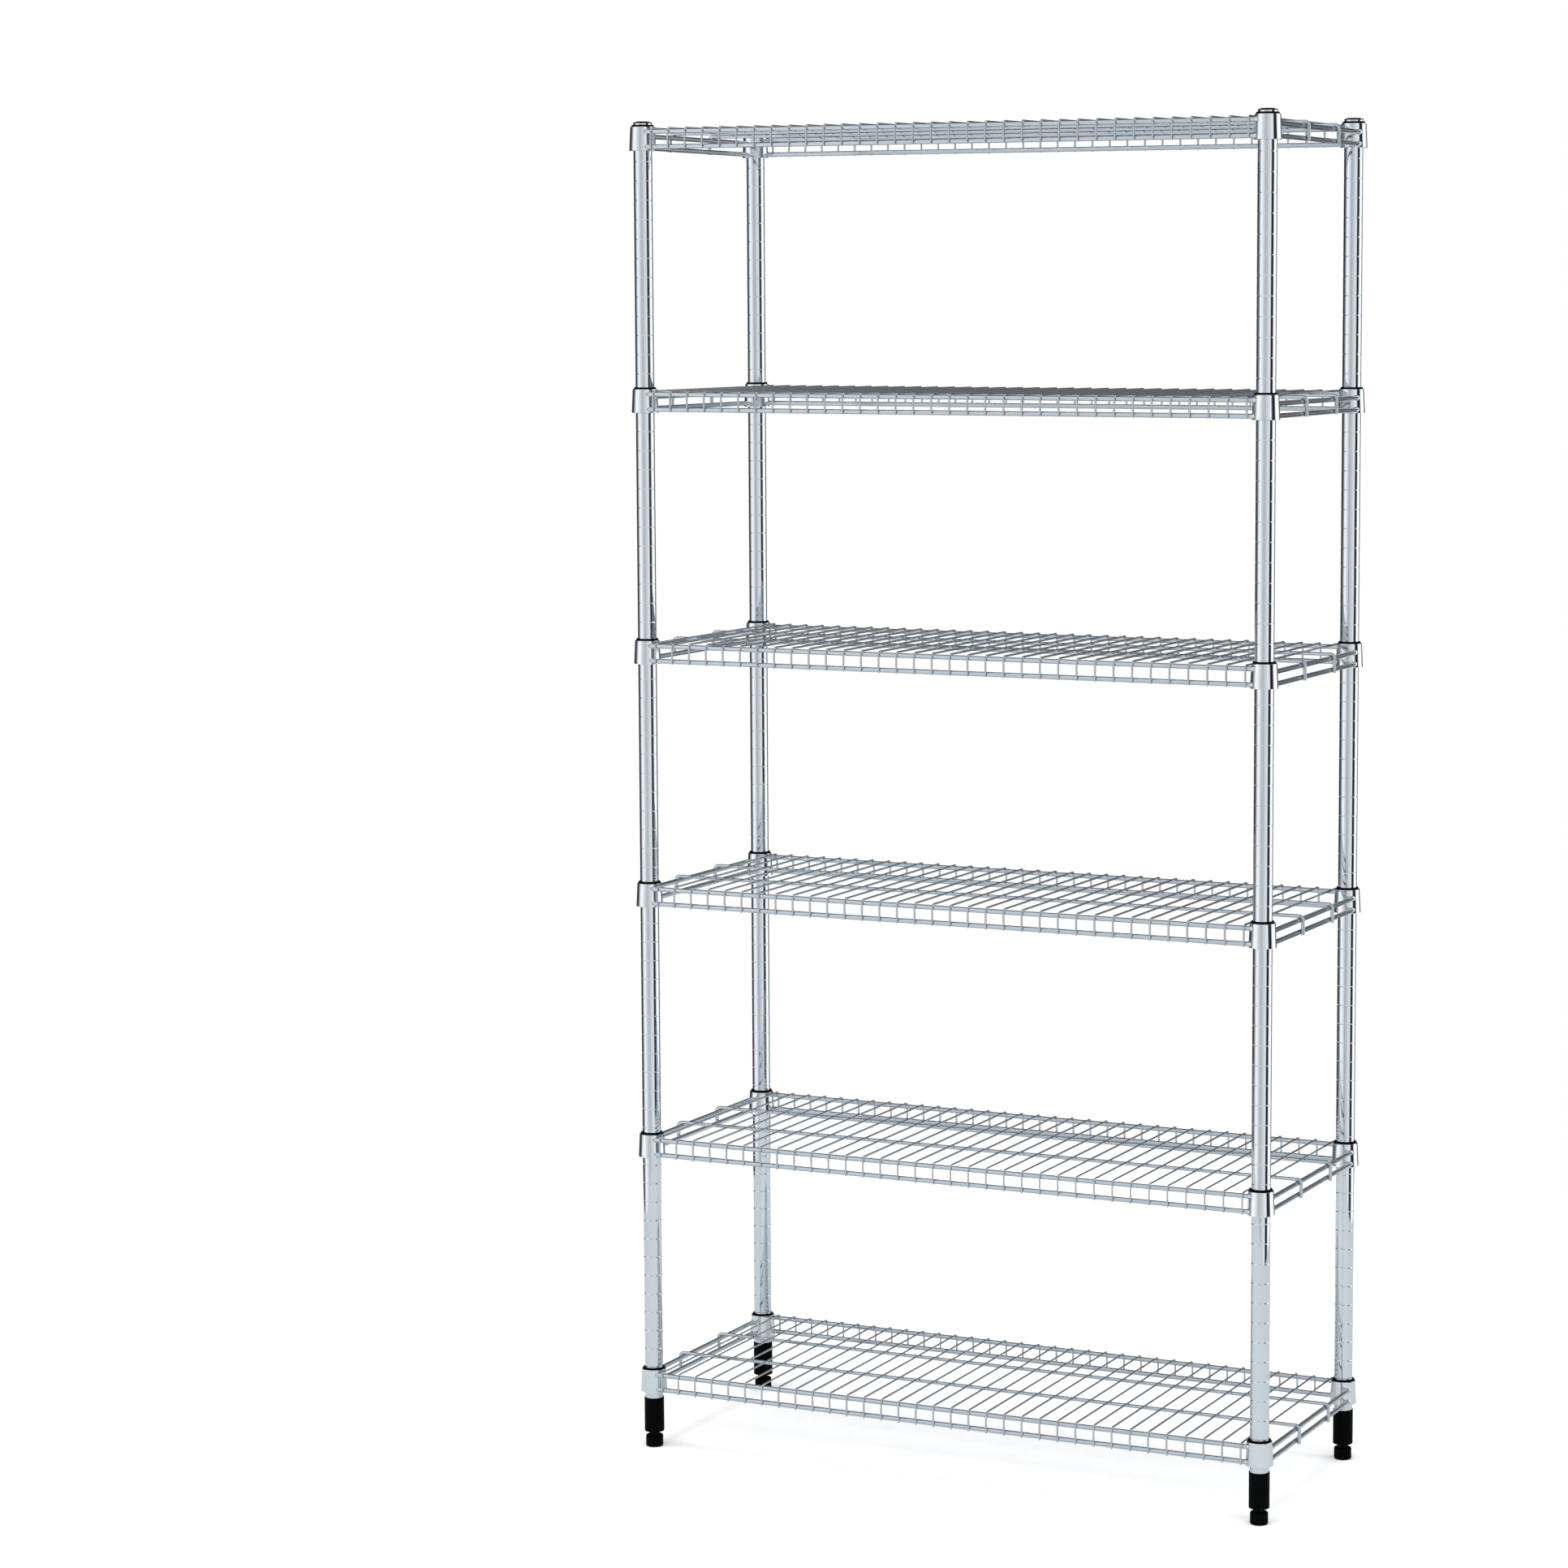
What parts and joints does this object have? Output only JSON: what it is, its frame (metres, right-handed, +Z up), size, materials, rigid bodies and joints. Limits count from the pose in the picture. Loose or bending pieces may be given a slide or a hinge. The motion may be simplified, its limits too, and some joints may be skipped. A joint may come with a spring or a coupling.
{
  "type": "wire shelving rack",
  "caption": "Free-standing chrome wire shelving rack: grooved round posts, lift-off wire shelves on tapered collars, and screw-in levelling feet.",
  "frame": {"origin": "on the floor, under the middle of the rack", "axes": "+X along the shelves, +Y from the front to the back, +Z up"},
  "size_m": [0.913, 0.3616, 1.7898],
  "materials": {
    "upper_posts": "bright chrome plate on drawn tube",
    "lower_posts": "bright chrome plate on drawn tube",
    "collars": "bright chrome plate",
    "rim_rods": "bright chrome plate on drawn wire",
    "support_wires": "bright chrome plate on drawn wire",
    "deck_wires": "bright chrome plate on drawn wire",
    "clips": "moulded, satin",
    "caps": "moulded, satin",
    "end_sleeves": "moulded, fine texture",
    "foot_pads": "moulded, fine texture",
    "foot_studs": "black oxide on a rolled thread",
    "fittings": "zinc plated"
  },
  "bodies": {
    "root": {"upper_post_front_left": "upper_posts", "upper_post_front_right": "upper_posts", "upper_post_back_left": "upper_posts", "upper_post_back_right": "upper_posts", "lower_post_front_left": "lower_posts", "lower_post_front_right": "lower_posts", "lower_post_back_left": "lower_posts", "lower_post_back_right": "lower_posts", "post_cap_front_left": "caps", "post_cap_front_right": "caps", "post_cap_back_left": "caps", "post_cap_back_right": "caps", "end_sleeve_front_left": "end_sleeves", "end_sleeve_front_right": "end_sleeves", "end_sleeve_back_left": "end_sleeves", "end_sleeve_back_right": "end_sleeves", "joint_studs": "fittings", "joint_bushes": "fittings", "foot_inserts": "fittings", "shelf_clips_1": "clips", "shelf_clips_2": "clips", "shelf_clips_3": "clips", "shelf_clips_4": "clips", "shelf_clips_5": "clips", "shelf_clips_6": "clips"},
    "foot_front_left": {"foot_stud_front_left": "foot_studs", "foot_pad_front_left": "foot_pads"},
    "foot_front_right": {"foot_stud_front_right": "foot_studs", "foot_pad_front_right": "foot_pads"},
    "foot_back_left": {"foot_stud_back_left": "foot_studs", "foot_pad_back_left": "foot_pads"},
    "foot_back_right": {"foot_stud_back_right": "foot_studs", "foot_pad_back_right": "foot_pads"},
    "shelf_1": {"shelf_1_collars": "collars", "shelf_1_rim_rods": "rim_rods", "shelf_1_support_wires": "support_wires", "shelf_1_deck_wires": "deck_wires"},
    "shelf_2": {"shelf_2_collars": "collars", "shelf_2_rim_rods": "rim_rods", "shelf_2_support_wires": "support_wires", "shelf_2_deck_wires": "deck_wires"},
    "shelf_3": {"shelf_3_collars": "collars", "shelf_3_rim_rods": "rim_rods", "shelf_3_support_wires": "support_wires", "shelf_3_deck_wires": "deck_wires"},
    "shelf_4": {"shelf_4_collars": "collars", "shelf_4_rim_rods": "rim_rods", "shelf_4_support_wires": "support_wires", "shelf_4_deck_wires": "deck_wires"},
    "shelf_5": {"shelf_5_collars": "collars", "shelf_5_rim_rods": "rim_rods", "shelf_5_support_wires": "support_wires", "shelf_5_deck_wires": "deck_wires"},
    "shelf_6": {"shelf_6_collars": "collars", "shelf_6_rim_rods": "rim_rods", "shelf_6_support_wires": "support_wires", "shelf_6_deck_wires": "deck_wires"}
  },
  "joints": [
    {"name": "shelf_1_lift", "type": "slide", "parent": "root", "child": "shelf_1", "axis": [0, 0, 1], "range_m": [0, 0.2794]},
    {"name": "shelf_2_lift", "type": "slide", "parent": "root", "child": "shelf_2", "axis": [0, 0, 1], "range_m": [0, 0.2794]},
    {"name": "shelf_3_lift", "type": "slide", "parent": "root", "child": "shelf_3", "axis": [0, 0, 1], "range_m": [0, 0.2794]},
    {"name": "shelf_4_lift", "type": "slide", "parent": "root", "child": "shelf_4", "axis": [0, 0, 1], "range_m": [0, 0.2794]},
    {"name": "shelf_5_lift", "type": "slide", "parent": "root", "child": "shelf_5", "axis": [0, 0, 1], "range_m": [0, 0.2794]},
    {"name": "shelf_6_lift", "type": "slide", "parent": "root", "child": "shelf_6", "axis": [0, 0, 1], "range_m": [0, 0.0508]},
    {"name": "foot_front_left_screw", "type": "slide", "parent": "root", "child": "foot_front_left", "axis": [0, 0, 1], "range_m": [-0.015, 0.005]},
    {"name": "foot_front_right_screw", "type": "slide", "parent": "root", "child": "foot_front_right", "axis": [0, 0, 1], "range_m": [-0.015, 0.005]},
    {"name": "foot_back_left_screw", "type": "slide", "parent": "root", "child": "foot_back_left", "axis": [0, 0, 1], "range_m": [-0.015, 0.005]},
    {"name": "foot_back_right_screw", "type": "slide", "parent": "root", "child": "foot_back_right", "axis": [0, 0, 1], "range_m": [-0.015, 0.005]}
  ]
}
